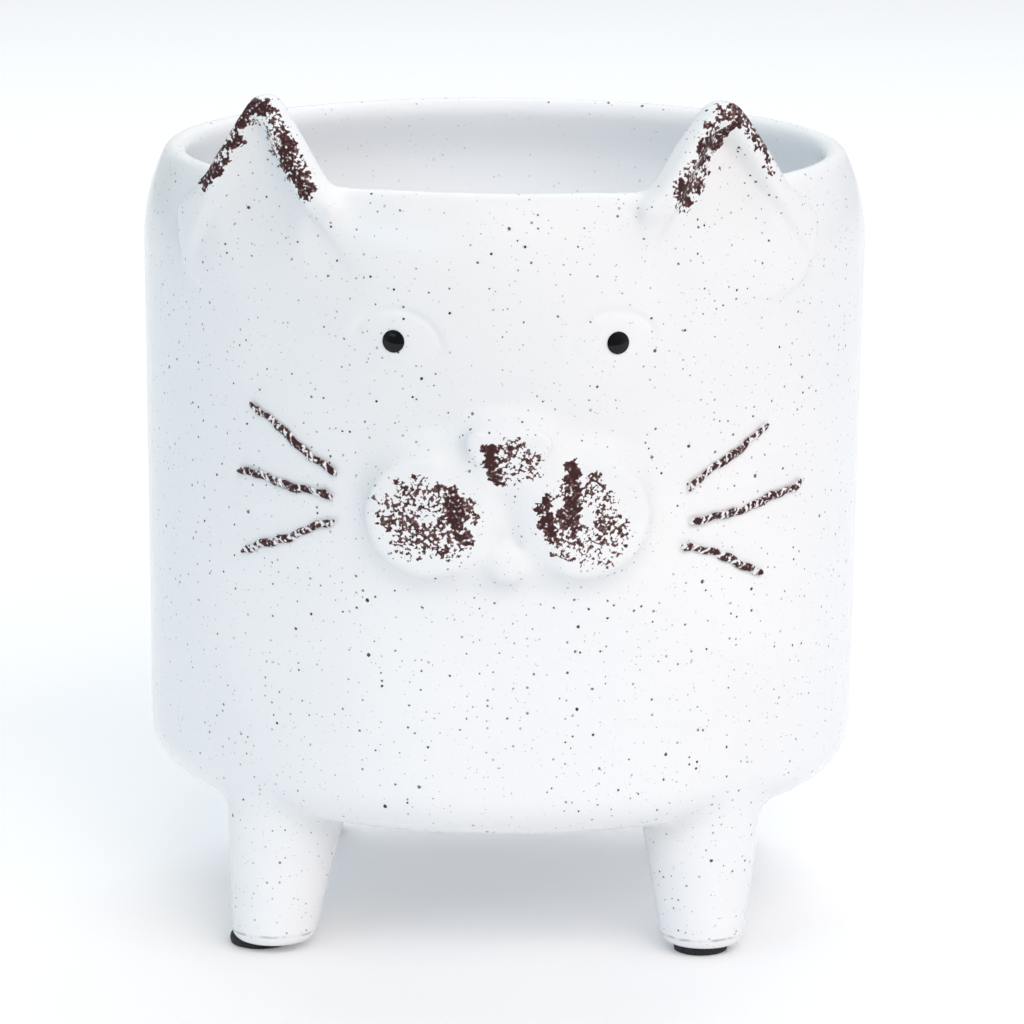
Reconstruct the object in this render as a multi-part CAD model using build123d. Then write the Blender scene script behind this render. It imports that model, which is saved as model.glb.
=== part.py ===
from build123d import *
import math
import os

# Cat shaped planter in speckled white glazed stoneware, standing on four short legs.
# The ears, the face and the legs are pressed or luted on to the pot, and each is a solid of its own.
# Lengths are millimetres and angles are degrees.
# The pot's axis is Z, the table is Z = 0, the cat looks along -Y and +X is at the viewer's right.
# An azimuth is measured about the axis, from -Y towards +X.

# Pot
wall_top_radius = 60.0
wall_taper = 1.0
wall_thickness = 5.0
floor_thickness = 5.0
underside_height = 23.8
lip_height = 128.3
lip_roll_radius = 2.0
mouth_inset = 7.2
shoulder_drop = 15.5
undercut_drop = 17.5
base_corner_radius = 7.7
floor_corner_radius = 8.0

# Thickness of the slip line between a luted piece and its seat
slip_line = 0.1

# One overrun serves every blank and cutter that reaches past what it is trimmed by
overrun = 2.0

# The ears were set a little off the face's centre line, and they look a little forwards
ear_setting_turn = -2.0
ear_azimuth = 38.4
ear_forward_turn = 3.0

# Ear outline, seen from the ear's own front: rises are measured up from the lip, drops down from it
ear_rise = 13.9
ear_tip_radius = 3.2
ear_tip_half_angle = 36.0
ear_foot_rise = 0.5
ear_foot_blend = 5.0
ear_root_outer_half_width = 18.6
ear_root_outer_drop = 4.9
ear_root_inner_half_width = 15.0
ear_root_inner_drop = 2.5
ear_root_drop = 19.0
ear_root_corner_radius = 9.0
ear_root_shoulder_radius = 2.5

# Ear in side view: its front stands proud of the wall, leans in at the tip and at the root,
# and is bowed sideways less than the wall is, on a radius that is a share of its front's.
# The tip's inset and thickness are those at the overrun above the tip
ear_proud = 1.1
ear_bow_share = 1.39
ear_thickness = 5.8
ear_tip_thickness = 4.0
ear_tip_inset = 1.2
ear_root_inset = 1.3
ear_edge_radius = 1.4

# Hollow of the ear between its two ridges
ear_hollow_depth = 2.3
ear_hollow_half_width = 8.6
ear_hollow_top_drop = 3.6
ear_hollow_drop = 15.0

# Eye: an almond recess in the wall, a shallow ball in it and a black pupil on the ball.
# Spacings on the face are measured round the wall
eye_setting_turn = 0.4
eye_half_spacing = 17.15
eye_drop = 23.1
eye_width = 14.6
eye_upper_rise = 5.0
eye_lower_drop = 3.6
eye_tilt = 8.0
eye_socket_depth = 0.9
eyeball_clearance = 0.5
eyeball_proud = 0.4
eyeball_radius = 24.0
pupil_outset = 0.63
pupil_diameter = 4.0
pupil_proud = 0.5

# Muzzle: two cheeks, the nose between their tops and the chin under them.
# The nose and the chin are placed from the height of the cheeks' middles
muzzle_setting_turn = 0.9
cheek_drop = 50.5
cheek_radius = 10.9
cheek_parting = 2.1
cheek_proud = 3.6
cheek_crown = 0.8
cheek_edge_radius = 2.4
nose_width = 14.4
nose_top_rise = 14.8
nose_tip_rise = 3.8
nose_corner_radius = 3.0
nose_proud = 3.8
nose_edge_radius = 1.7
chin_drop = 8.0
chin_half_width = 4.2
chin_half_height = 3.8
chin_proud = 2.6
chin_neck_radius = 1.6
chin_neck_proud = 1.2

# Whiskers: thin rolls of clay that sink into the wall at both ends
whisker_half_width = 0.85
whisker_proud = 0.65
whisker_end_sink = 0.9
whisker_length = 24.4
whisker_gap = 3.2
whisker_spacing = 3.6

# Legs: they stand just inside the wall and lean outwards to the foot
leg_wall_inset = 0.4
leg_foot_outset = 2.2
leg_top_diameter = 19.8
leg_foot_diameter = 13.5
leg_sole_chamfer = 1.0
leg_fillet_radius = 2.0

# Stick-on pads
pad_thickness = 1.5
pad_diameter = 12.4

# Sections of the ear's hollow from its top down:
# share of the way down, share of the half width and share of the depth
ear_hollow_section_shares = (
    (0.0, 0.14, 0.45),
    (0.2, 0.5, 0.92),
    (0.42, 0.9, 1.0),
    (0.66, 1.25, 0.80),
    (0.86, 1.35, 0.40),
    (1.0, 1.25, 0.12),
)

# How each whisker was laid: the gap between the cheek and its inner end as a share of the usual gap,
# that end's height over the cheek's middle as a share of the spacing, its slope, its length share,
# and its bow as a share of its own length
whisker_setting_shares = {
    "whisker_left_upper": (0.92, 1.1, 30.0, 1.0, 0.0),
    "whisker_left_middle": (1.01, 0.27, 6.7, 1.0, 0.01),
    "whisker_left_lower": (1.01, -0.44, -21.6, 1.03, 0.0),
    "whisker_right_upper": (1.57, 0.6, 26.8, 0.94, 0.01),
    "whisker_right_middle": (1.21, -0.75, 8.0, 1.34, -0.025),
    "whisker_right_lower": (1.21, -1.45, -22.3, 0.93, 0.02),
}

# How each leg was set: its azimuth, and how far its foot leans out as a share of the usual outset
leg_setting_shares = {
    "front_left": (-45.7, 1.9),
    "front_right": (43.2, 0.6),
    "rear_right": (133.0, 1.0),
    "rear_left": (-136.8, 1.0),
}

# How far each pad has slipped off its sole along X and Y, as shares of the pad's diameter
pad_slip_shares = {
    "front_left": (-0.01, 0.26),
    "front_right": (-0.03, 0.0),
    "rear_right": (0.05, -0.04),
    "rear_left": (0.16, -0.10),
}

# Places that follow from the sizes above
wall_low_radius = wall_top_radius - wall_taper
throat_radius = wall_top_radius - mouth_inset
shoulder_height = lip_height - shoulder_drop
undercut_height = lip_height - undercut_drop
floor_height = underside_height + floor_thickness
inner_top_radius = wall_top_radius - wall_thickness
inner_low_radius = wall_low_radius - wall_thickness
leg_top_height = underside_height + base_corner_radius
lip_centre_radius = throat_radius + lip_roll_radius
lip_centre_height = lip_height - lip_roll_radius
ear_front_radius = wall_top_radius + ear_proud
ear_bow_radius = ear_front_radius * ear_bow_share
ear_tip_height = lip_height + ear_rise
ear_foot_height = lip_height + ear_foot_rise
ear_root_outer_top_height = lip_height - ear_root_outer_drop
ear_root_inner_top_height = lip_height - ear_root_inner_drop
ear_root_bottom_height = lip_height - ear_root_drop
ear_hollow_bottom_height = lip_height - ear_hollow_drop
eye_height = lip_height - eye_drop
cheek_height = lip_height - cheek_drop
cheek_half_spacing = cheek_radius + cheek_parting / 2
nose_top_height = cheek_height + nose_top_rise
nose_tip_height = cheek_height + nose_tip_rise
chin_height = cheek_height - chin_drop


def shoulder_arc():
    """Radius of the arc from the wall to the lip roll, and the angle at which it meets the roll."""
    reach = wall_top_radius - lip_centre_radius
    rise = lip_centre_height - shoulder_height
    radius = (reach**2 + rise**2 - lip_roll_radius**2) / (2 * (reach - lip_roll_radius))
    angle = math.degrees(math.atan2(rise, radius - reach))
    return radius, angle


def undercut_arc():
    """Radius of the hollow arc under the lip inside, and the angle at which it meets the roll."""
    reach = inner_top_radius - lip_centre_radius
    rise = lip_centre_height - undercut_height
    radius = (reach**2 + rise**2 - lip_roll_radius**2) / (2 * (reach + lip_roll_radius))
    angle = math.degrees(math.atan2(rise, radius - reach))
    return radius, angle


def outer_edges(growth):
    """Half outline of the pot's outside, from the axis under the floor to the top of the lip."""
    corner_radius = wall_low_radius - base_corner_radius
    corner_height = underside_height + base_corner_radius
    shoulder_radius, shoulder_angle = shoulder_arc()
    under = Line((0, underside_height - growth), (corner_radius, underside_height - growth))
    corner = CenterArc((corner_radius, corner_height), base_corner_radius + growth, -90, 90)
    wall = Line(corner @ 1, (wall_top_radius + growth, shoulder_height))
    shoulder_centre = (wall_top_radius - shoulder_radius, shoulder_height)
    shoulder = CenterArc(shoulder_centre, shoulder_radius + growth, 0, shoulder_angle)
    lip_centre = (lip_centre_radius, lip_centre_height)
    roll = CenterArc(lip_centre, lip_roll_radius + growth, shoulder_angle, 90 - shoulder_angle)
    return [under, corner, wall, shoulder, roll]


def inner_edges():
    """Half outline of the pot's inside, from the top of the lip down to the axis."""
    undercut_radius, undercut_angle = undercut_arc()
    corner_radius = inner_low_radius - floor_corner_radius
    corner_height = floor_height + floor_corner_radius
    roll = CenterArc((lip_centre_radius, lip_centre_height), lip_roll_radius, 90, 90 + undercut_angle)
    undercut_centre = (inner_top_radius - undercut_radius, undercut_height)
    undercut = CenterArc(undercut_centre, undercut_radius, undercut_angle, -undercut_angle)
    corner = CenterArc((corner_radius, corner_height), floor_corner_radius, 0, -90)
    wall = Line(undercut @ 1, corner @ 0)
    floor = Line(corner @ 1, (0, floor_height))
    return [roll, undercut, wall, corner, floor]


def turned(edges):
    """Solid of revolution about the pot's axis of a half outline that starts and ends on the axis."""
    outline = edges + [Line(edges[-1] @ 1, edges[0] @ 0)]
    return revolve(Plane.YZ * make_face(outline), Axis.Z)


def seat(growth):
    """The pot's outside as a full solid, grown by a clearance, which trims whatever is luted on to it."""
    outside = outer_edges(growth)
    return turned(outside + [Line(outside[-1] @ 1, (0, lip_height + growth))])


def wall_radius(height):
    """Radius of the outside of the wall at a height."""
    low = underside_height + base_corner_radius
    share = (height - low) / (shoulder_height - low)
    return wall_low_radius + share * (wall_top_radius - wall_low_radius)


def around(radius, azimuth, height):
    """Point at a radius, an azimuth and a height about the pot's axis."""
    angle = math.radians(azimuth)
    return Vector(radius * math.sin(angle), -radius * math.cos(angle), height)


def turn_to(distance, height):
    """Angle about the pot's axis that a distance measured round the wall at a height spans."""
    return math.degrees(distance / wall_radius(height))


def upright_plane(origin, azimuth):
    """Plane whose normal looks out along the azimuth, whose X runs sideways and whose Y runs up."""
    sideways = (math.cos(math.radians(azimuth)), math.sin(math.radians(azimuth)), 0)
    return Plane(origin, x_dir=sideways, z_dir=around(1, azimuth, 0))


def cap_radius(half_width, rise):
    """Radius of the ball whose cap has the given half width and rise."""
    return (half_width**2 + rise**2) / (2 * rise)


def almond():
    """Outline of the eye."""
    half_width = eye_width / 2
    upper = ThreePointArc((-half_width, 0), (0, eye_upper_rise), (half_width, 0))
    lower = ThreePointArc((half_width, 0), (0, -eye_lower_drop), (-half_width, 0))
    return make_face([upper, lower])


def eye_plane(side):
    """Plane of the eye socket's floor, with the outer corner of the eye tilted up."""
    middle_radius = wall_radius(eye_height) - eye_socket_depth
    azimuth = side * turn_to(eye_half_spacing, eye_height) + eye_setting_turn
    plane = upright_plane(around(middle_radius, azimuth, eye_height), azimuth)
    return Plane(plane.location * Rot(0, 0, side * eye_tilt))


def eye_socket(side):
    """Cutter for the almond recess in the wall."""
    return extrude(eye_plane(side) * almond(), eye_socket_depth + overrun)


def pupil_centre(side, radius):
    """Point at a radius on the line from the pot's axis out through the middle of the pupil."""
    azimuth = side * turn_to(eye_half_spacing + pupil_outset, eye_height) + eye_setting_turn
    return around(radius, azimuth, eye_height)


def eyeball_ball(side, growth):
    """The whole ball whose front shows in the eye socket."""
    radius = wall_radius(eye_height) + eyeball_proud - eyeball_radius
    return Pos(pupil_centre(side, radius)) * Sphere(eyeball_radius + growth)


def eyeball(side):
    """Shallow ball that fills the almond recess up to its edges."""
    floor = eye_plane(side).offset(slip_line)
    blank = extrude(floor * offset(almond(), -eyeball_clearance), eye_socket_depth + overrun)
    return blank & eyeball_ball(side, 0)


def pupil(side):
    """Black bead of glaze on the front of the eyeball."""
    half_width = pupil_diameter / 2
    sagitta = eyeball_radius - math.sqrt(eyeball_radius**2 - half_width**2)
    bead_radius = cap_radius(half_width, pupil_proud + sagitta)
    front = wall_radius(eye_height) + eyeball_proud + pupil_proud
    bead = Pos(pupil_centre(side, front - bead_radius)) * Sphere(bead_radius)
    return bead - eyeball_ball(side, slip_line)


def pot():
    """Thrown pot: floor, upright wall, rolled-in shoulder and rounded lip, with the two eye sockets."""
    body = turned(outer_edges(0) + inner_edges())
    for side in (-1, 1):
        body -= eye_socket(side)
    return body


def ear_flank(direction, half_width, top_height, foot_half_width):
    """Corners of one flank of the ear from the root up to the foot: place across, height and radius."""
    return [
        (direction * half_width, ear_root_bottom_height, ear_root_corner_radius),
        (direction * half_width, top_height, ear_root_shoulder_radius),
        (direction * foot_half_width, ear_foot_height, ear_foot_blend),
    ]


def ear_outline(side):
    """Front view of the ear: a rounded triangle on a root that spreads more to the outside."""
    half_angle = math.radians(ear_tip_half_angle)
    apex_height = ear_tip_height + ear_tip_radius * (1 / math.sin(half_angle) - 1)
    foot_half_width = (apex_height - ear_foot_height) * math.tan(half_angle)
    roots = {
        side: (ear_root_outer_half_width, ear_root_outer_top_height),
        -side: (ear_root_inner_half_width, ear_root_inner_top_height),
    }
    rising = ear_flank(1, *roots[1], foot_half_width)
    falling = ear_flank(-1, *roots[-1], foot_half_width)[::-1]
    corners = [*rising, (0, apex_height, ear_tip_radius), *falling]
    outline = make_face(Polyline(*[(x, z) for x, z, radius in corners], close=True))
    for x, z, radius in corners:
        outline = fillet(outline.vertices().sort_by_distance((x, z, 0))[0], radius)
    return outline


def ear_side_view():
    """Side view of the ear, with X as the distance out from the pot's axis and Y as the height."""
    root = (ear_front_radius - ear_root_inset, ear_root_bottom_height - overrun)
    belly = (ear_front_radius, ear_root_outer_top_height)
    top = ear_tip_height + overrun
    tip = (ear_front_radius - ear_tip_inset, top)
    tip_back = (tip[0] - ear_tip_thickness, top)
    back = ear_front_radius - ear_thickness
    front = ThreePointArc(root, belly, tip)
    rear = Polyline(tip, tip_back, (back, lip_height), (back, root[1]), root)
    return make_face([front, *rear.edges()])


def ear_hollow():
    """Cutter for the scooped front of the ear, lofted through arcs from the tip down to the root."""
    top = ear_tip_height - ear_hollow_top_drop
    drop = top - ear_hollow_bottom_height
    sections = []
    for down_share, width_share, depth_share in ear_hollow_section_shares:
        half_width = ear_hollow_half_width * width_share
        depth = ear_hollow_depth * depth_share
        floor = ThreePointArc((-half_width, 0), (0, depth), (half_width, 0))
        rim = Polyline((half_width, 0), (half_width, -overrun), (-half_width, -overrun), (-half_width, 0))
        level = Plane((0, -ear_front_radius, top - drop * down_share))
        sections.append(level * make_face([floor, *rim.edges()]))
    return loft(sections)


def ear(side, pot_seat):
    """Ear with its root: front view crossed with a bowed side view, rounded, scooped and trimmed."""
    front_view = extrude(Plane.XZ * ear_outline(side), ear_front_radius + overrun)
    side_plane = Plane((0, 0, 0), x_dir=(0, -1, 0), z_dir=(-1, 0, 0))
    bow_axis = Axis((0, ear_bow_radius - ear_front_radius, 0), (0, 0, 1))
    side_view = revolve(side_plane * ear_side_view(), bow_axis).rotate(bow_axis, 180)
    blank = fillet((front_view & side_view).edges(), ear_edge_radius) - ear_hollow()
    front = Pos(0, -ear_front_radius, 0)
    forward_turn = front * Rot(0, 0, -side * ear_forward_turn) * front.inverse()
    return Rot(0, 0, side * ear_azimuth + ear_setting_turn) * forward_turn * blank - pot_seat


def cheek_plane(side):
    """Plane on the wall at the middle of a cheek."""
    azimuth = side * turn_to(cheek_half_spacing, cheek_height) + muzzle_setting_turn
    return upright_plane(around(wall_radius(cheek_height), azimuth, cheek_height), azimuth)


def cheek(side, pot_seat):
    """Round cheek with upright sides, a rounded edge and a crowned face, trimmed to the wall."""
    rim_rise = cheek_proud - cheek_crown
    ball_radius = cap_radius(cheek_radius, cheek_crown)
    crown = RadiusArc((cheek_radius, rim_rise), (0, cheek_proud), -ball_radius)
    sides = Polyline((0, cheek_proud), (0, -overrun), (cheek_radius, -overrun), (cheek_radius, rim_rise))
    profile = make_face([crown, *sides.edges()])
    shoulder = profile.vertices().sort_by_distance((cheek_radius, rim_rise, 0))[0]
    profile = fillet(shoulder, cheek_edge_radius)
    return cheek_plane(side) * revolve(Plane.XZ * profile, Axis.Z) - pot_seat


def cheek_gap(side):
    """Cutter that keeps the nose and the chin a slip line away from a cheek."""
    base = cheek_plane(side).offset(-overrun)
    return extrude(base * Circle(cheek_radius + slip_line), nose_proud + 2 * overrun)


def nose_outline(growth):
    """Front view of the nose: a rounded triangle with its point down, grown by a clearance."""
    half_height = (nose_top_height - nose_tip_height) / 2
    corner_x = nose_width / 2 - nose_corner_radius
    corner_y = half_height - nose_corner_radius
    corners = [(-corner_x, corner_y), (corner_x, corner_y), (0, -corner_y)]
    circles = [Pos(x, y) * Circle(nose_corner_radius + growth) for x, y in corners]
    return make_hull([circle.edge() for circle in circles])


def nose_plane():
    """Plane on the wall at the middle of the nose."""
    height = (nose_top_height + nose_tip_height) / 2
    return upright_plane(around(wall_radius(height), muzzle_setting_turn, height), muzzle_setting_turn)


def nose(neighbours):
    """Nose that sits in the notch over the cheeks, with its edge rounded all round."""
    blank = extrude(nose_plane().offset(-overrun) * nose_outline(0), nose_proud + overrun)
    front = blank.faces().sort_by_distance(nose_plane().offset(nose_proud).origin)[0]
    return fillet(front.edges(), nose_edge_radius) - neighbours


def nose_gap():
    """Cutter that keeps the chin's neck a slip line away from the nose."""
    base = nose_plane().offset(-overrun)
    return extrude(base * nose_outline(slip_line), nose_proud + 2 * overrun)


def chin(neighbours):
    """Chin bump under the cheeks, with the neck that runs up between them to the nose."""
    seat_point = around(wall_radius(chin_height), muzzle_setting_turn, chin_height)
    plane = upright_plane(seat_point, muzzle_setting_turn)
    bump = scale(Sphere(chin_proud), (chin_half_width / chin_proud, chin_half_height / chin_proud, 1))
    neck_length = nose_top_height - chin_height
    rod = Cylinder(chin_neck_radius, neck_length, align=(Align.CENTER, Align.CENTER, Align.MIN))
    neck = Pos(0, 0, chin_neck_proud - chin_neck_radius) * Rot(-90, 0, 0) * rod
    return plane * (bump + neck) - neighbours


def whisker(name, pot_seat):
    """Thin roll of clay laid on the wall, sunk into it at both ends."""
    gap_share, rise_share, slope, length_share, bow_share = whisker_setting_shares[name]
    outwards = -1 if "left" in name else 1
    cheek_reach = cheek_half_spacing + cheek_radius + whisker_gap * gap_share
    azimuth = outwards * turn_to(cheek_reach, cheek_height) + muzzle_setting_turn
    length = whisker_length * length_share
    slope = math.radians(slope)
    root_height = cheek_height + whisker_spacing * rise_share

    def place(along, bow, sink):
        height = root_height + along * math.sin(slope) + bow * math.cos(slope)
        across = along * math.cos(slope) - bow * math.sin(slope)
        turn = outwards * turn_to(across, height)
        reach = wall_radius(height) + whisker_proud - whisker_half_width - sink
        return around(reach, azimuth + turn, height)

    start = place(0, 0, whisker_end_sink)
    middle = place(length / 2, length * bow_share, 0)
    end = place(length, 0, whisker_end_sink)
    path = ThreePointArc(start, middle, end)
    roll = sweep(Plane(path @ 0, z_dir=path % 0) * Circle(whisker_half_width), path)
    return roll - pot_seat


def leg_radius(height):
    """Radius of a leg at a height, on one straight taper from the sole up into the pot."""
    share = (height - pad_thickness) / (underside_height - pad_thickness)
    return (leg_foot_diameter + share * (leg_top_diameter - leg_foot_diameter)) / 2


def leg_axis_point(name, height):
    """Where a leg's leaning axis passes a height."""
    azimuth, outset_share = leg_setting_shares[name]
    top_reach = wall_low_radius - leg_wall_inset - leg_radius(leg_top_height)
    lean_share = outset_share * (leg_top_height - height) / (leg_top_height - pad_thickness)
    return around(top_reach + leg_foot_outset * lean_share, azimuth, height)


def leg(name, pot_seat):
    """Tapered leg with a chamfered sole, filleted into the rounded base of the pot."""
    foot = leg_axis_point(name, 0)
    top = leg_axis_point(name, leg_top_height)
    ends = (Align.CENTER, Align.CENTER, Align.MIN)
    taper = Cone(leg_radius(0), leg_radius(leg_top_height), (top - foot).length, align=ends)
    shaft = split(Plane(foot, z_dir=top - foot) * taper, Plane.XY.offset(pad_thickness))
    shaft = chamfer(shaft.faces().sort_by(Axis.Z)[0].edges(), leg_sole_chamfer)
    joined = pot_seat + shaft
    reach = leg_top_diameter / 2 + base_corner_radius
    seam = joined.edges().filter_by_position(Axis.Z, underside_height - overrun, leg_top_height)
    seam = seam.filter_by(lambda edge: (edge.center() - top).length < reach)
    return fillet(seam, leg_fillet_radius) - pot_seat


def pad(name):
    """Round stick-on pad under a leg's sole."""
    slip_x_share, slip_y_share = pad_slip_shares[name]
    sole = leg_axis_point(name, 0)
    middle = Plane((sole.X + pad_diameter * slip_x_share, sole.Y + pad_diameter * slip_y_share, 0))
    return extrude(middle * Circle(pad_diameter / 2), pad_thickness)


def build():
    """Every sub-part under its own name."""
    pot_seat = seat(slip_line)
    parts = {"pot": pot()}
    for name, side in (("left", -1), ("right", 1)):
        parts[f"ear_{name}"] = ear(side, pot_seat)
        parts[f"eyeball_{name}"] = eyeball(side)
        parts[f"pupil_{name}"] = pupil(side)
        parts[f"cheek_{name}"] = cheek(side, pot_seat)
    neighbours = [pot_seat, cheek_gap(-1), cheek_gap(1)]
    parts["nose"] = nose(neighbours)
    parts["chin"] = chin([*neighbours, nose_gap()])
    for name in whisker_setting_shares:
        parts[name] = whisker(name, pot_seat)
    for name in leg_setting_shares:
        parts[f"leg_{name}"] = leg(name, pot_seat)
        parts[f"pad_{name}"] = pad(name)
    return parts


os.makedirs("parts", exist_ok=True)
for name, shape in build().items():
    solids = shape.solids()
    export_step(shape, f"parts/{name}.step")
    print(name, len(solids), "solid", round(shape.volume, 1), "mm3")
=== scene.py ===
import math

import bmesh
import bpy
import numpy as np
from mathutils import Matrix, Vector
from mathutils.bvhtree import BVHTree
from mathutils.kdtree import KDTree


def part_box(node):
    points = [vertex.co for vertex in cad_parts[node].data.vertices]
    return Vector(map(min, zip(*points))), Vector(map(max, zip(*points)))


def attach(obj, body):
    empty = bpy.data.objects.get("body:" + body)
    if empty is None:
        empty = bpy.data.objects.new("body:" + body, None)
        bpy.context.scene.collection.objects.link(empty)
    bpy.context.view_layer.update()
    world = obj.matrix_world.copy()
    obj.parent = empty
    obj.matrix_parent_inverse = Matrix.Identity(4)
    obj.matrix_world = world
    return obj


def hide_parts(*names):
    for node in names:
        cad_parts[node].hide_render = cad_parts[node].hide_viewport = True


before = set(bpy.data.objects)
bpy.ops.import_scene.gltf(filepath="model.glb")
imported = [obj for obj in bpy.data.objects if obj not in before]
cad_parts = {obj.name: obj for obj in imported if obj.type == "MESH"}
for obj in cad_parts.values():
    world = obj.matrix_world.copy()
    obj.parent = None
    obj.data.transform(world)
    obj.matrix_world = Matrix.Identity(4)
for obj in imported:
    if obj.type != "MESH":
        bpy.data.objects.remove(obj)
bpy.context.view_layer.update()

# Lengths are in millimetres, turned into metres where Blender needs them, and angles in degrees
MM = 0.001

# Places taken over from the CAD part
WALL_LOW_RADIUS, WALL_TOP_RADIUS = 59.0, 60.0
WALL_LOW_HEIGHT, SHOULDER_HEIGHT = 31.5, 112.8
FOOT_HEIGHT, FLOOR_MIDDLE_HEIGHT, LIP_HEIGHT = 24.0, 26.5, 128.3
EYE_HEIGHT = 105.2
EYE_HALF_SPACING, EYE_TURN, EYE_TILT = 17.15, 0.4, 8.0
EAR_AZIMUTH, EAR_TURN, EAR_FORWARD_TURN = 38.4, -2.0, 3.0
EAR_FRONT_RADIUS = 61.1
SIDES = {"left": -1, "right": 1}
LEGS = ("front_left", "front_right", "rear_right", "rear_left")
WHISKERS = [f"whisker_{side}_{row}" for side in SIDES for row in ("upper", "middle", "lower")]

# The glaze runs over the joints, so one skin is made of all these nodes and then parted again
EARS = [f"ear_{side}" for side in SIDES]
EYEBALLS = [f"eyeball_{side}" for side in SIDES]
CHEEKS = [f"cheek_{side}" for side in SIDES]
GLAZED = ["pot", *EARS, *EYEBALLS, *CHEEKS, "nose", "chin", *[f"leg_{leg}" for leg in LEGS]]
SKIN_VOXEL = 0.55
LABEL_REACH, MERGE_DISTANCE = 1.2, 0.0005
# Evening out: weight, and rounds for the raw skin, the finished skin, its normals and an ear's border
EVEN_WEIGHT = 0.5
RAW_ROUNDS, FINISH_ROUNDS, NORMAL_ROUNDS, BORDER_ROUNDS = 2, 3, 6, 8

# The pot's turned section: step in height, seam, how far off it a point may lie, and least radius
SECTION_STEP, SECTION_SEAM, SECTION_CATCH, AXIS_CLEARANCE = 0.2, 0.02, 0.4, 1.0

# Width of each piece's blend into the pot, and by how much an ear's outer side falls short of it
EAR_BLEND, EAR_BLEND_CUT = 6.0, {"left": 3.4, "right": 1.4}
EAR_BLEND_LOW, EAR_BLEND_OUTER = (118, 109), (0, 8)
CHEEK_BLEND, LEG_BLEND, FINE_BLEND = 2.7, 2.5, 1.6
NOSE_BLEND, NOSE_BLEND_MORE, NOSE_BLEND_LOW = 3.0, 1.8, (86, 82)
BLEND_ROUNDS, BLEND_CORE = 140, 1.4
# Above this height the blend takes little off the edges that stand out
WORN_BACK, WORN_HEIGHT = 0.85, 98

# Where each ear's inner root runs out into the shoulder: span across the ear and heights
ROOT_SINK_ACROSS, ROOT_SINK_HEIGHTS, ROOT_REACH, ROOT_LEFT = (-6, -13), (126, 120), 0.5, 0.05
ROOT_BLEND_ACROSS, ROOT_BLEND_HEIGHTS, ROOT_HALF_WIDTH = (-5, -9), (127, 121), 24

# Ears in their own front view: reach of the changes, scoop, thickness, roll and wider side
EAR_SPAN, EAR_SPAN_FADED, EAR_DEPTHS, EAR_FACING = 22, 16, (-16, -10), (0.1, 0.5)
EAR_LEVEL = 127
SCOOP_MIDDLE, SCOOP_LEAN = 0.15, 0.12
SCOOP_HALF_WIDTH, SCOOP_TAPER, SCOOP_RIDGE, SCOOP_SOFT = 11.3, 0.7, 1.9, 2.6
SCOOP_HEIGHTS, EAR_HOLLOW = (108, 126), 1.3
EAR_THINNEST, EAR_THICKER, EAR_THICKER_HEIGHTS = 3.6, 2.2, (112, 120)
EAR_ROLL, EAR_ROLL_START, EAR_ROLL_WIDTH = 3.4, 7, 12
EAR_WIDER, EAR_WIDER_ACROSS, EAR_WIDER_HEIGHTS = 1.75, (5, -7), (115, 129)

# The undercut mouth and the round end of the chin
INNER_WALL_DEPTH = 2.4
MOUTH_SWELL, MOUTH_TOP, MOUTH_FOOT = 1.3, (126.2, 117.2), (102, 116)
CHIN_SWELL, CHIN_EDGE, MUZZLE_FRONT = 0.7, (1.0, 0.45), -55

# Relief of the eyes: almond outline, shallow ball, crease along the outline and lids outside it
EYE_HALF_WIDTH, EYE_RISE, EYE_DROP = 7.3, 5.0, 3.6
BALL_HEIGHT, BALL_MIDDLE, BALL_FALL_ACROSS, BALL_FALL_UP, BALL_SOFT = 0.34, 0.6, 0.008, 0.014, 1.6
CREASE_DEPTH, CREASE_DEEPER_ABOVE, CREASE_WIDTH = 0.04, 0.17, 0.65
LID_HEIGHT, LID_HIGHER_ABOVE, LID_PLACE, LID_WIDTH = 0.02, 0.13, 1.4, 1.1
LID_CHANGE = 3
EYE_FINE_REACH, EYE_REACH, EYE_FADE = 2.6, 5, 1.8
OUTER_WALL_RADIUS, EYE_ZONE = 58.5, 8


# ---- geometry helpers


def smooth_step(x):
    """0 below 0, 1 above 1, and smooth between."""
    x = np.clip(x, 0, 1)
    return x * x * (3 - 2 * x)


def ease(value, start, end):
    """0 up to start, 1 from end on, and smooth between. The end may lie below the start."""
    return smooth_step((value - start) / (end - start))


def radius_of(points):
    """Distance of each point from the pot's axis."""
    return np.hypot(points[:, 0], points[:, 1])


def push_out(points, distance):
    """Moves each point away from the pot's axis by its own distance."""
    points[:, :2] *= (1 + distance / np.maximum(radius_of(points), 1))[:, None]
    return points


def wall_radius(z):
    """Radius of the pot's outside at a height."""
    share = (z - WALL_LOW_HEIGHT) / (SHOULDER_HEIGHT - WALL_LOW_HEIGHT)
    return WALL_LOW_RADIUS + share * (WALL_TOP_RADIUS - WALL_LOW_RADIUS)


def read_all(items, key, width=1, kind=np.int32):
    """One property of all vertices, edges, corners or faces, as an array."""
    values = np.zeros(len(items) * width, kind)
    items.foreach_get(key, values)
    return values if width == 1 else values.reshape(-1, width)


def placed(name, data):
    """New object in the scene."""
    made = bpy.data.objects.new(name, data)
    bpy.context.scene.collection.objects.link(made)
    return made


def mesh_points(mesh):
    """Vertices of a mesh in millimetres."""
    return read_all(mesh.vertices, "co", 3, np.float32).astype(float) / MM


def set_points(mesh, points):
    """Moves a mesh's vertices to points in millimetres."""
    mesh.vertices.foreach_set("co", (points * MM).astype(np.float32).ravel())
    mesh.update()


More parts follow.
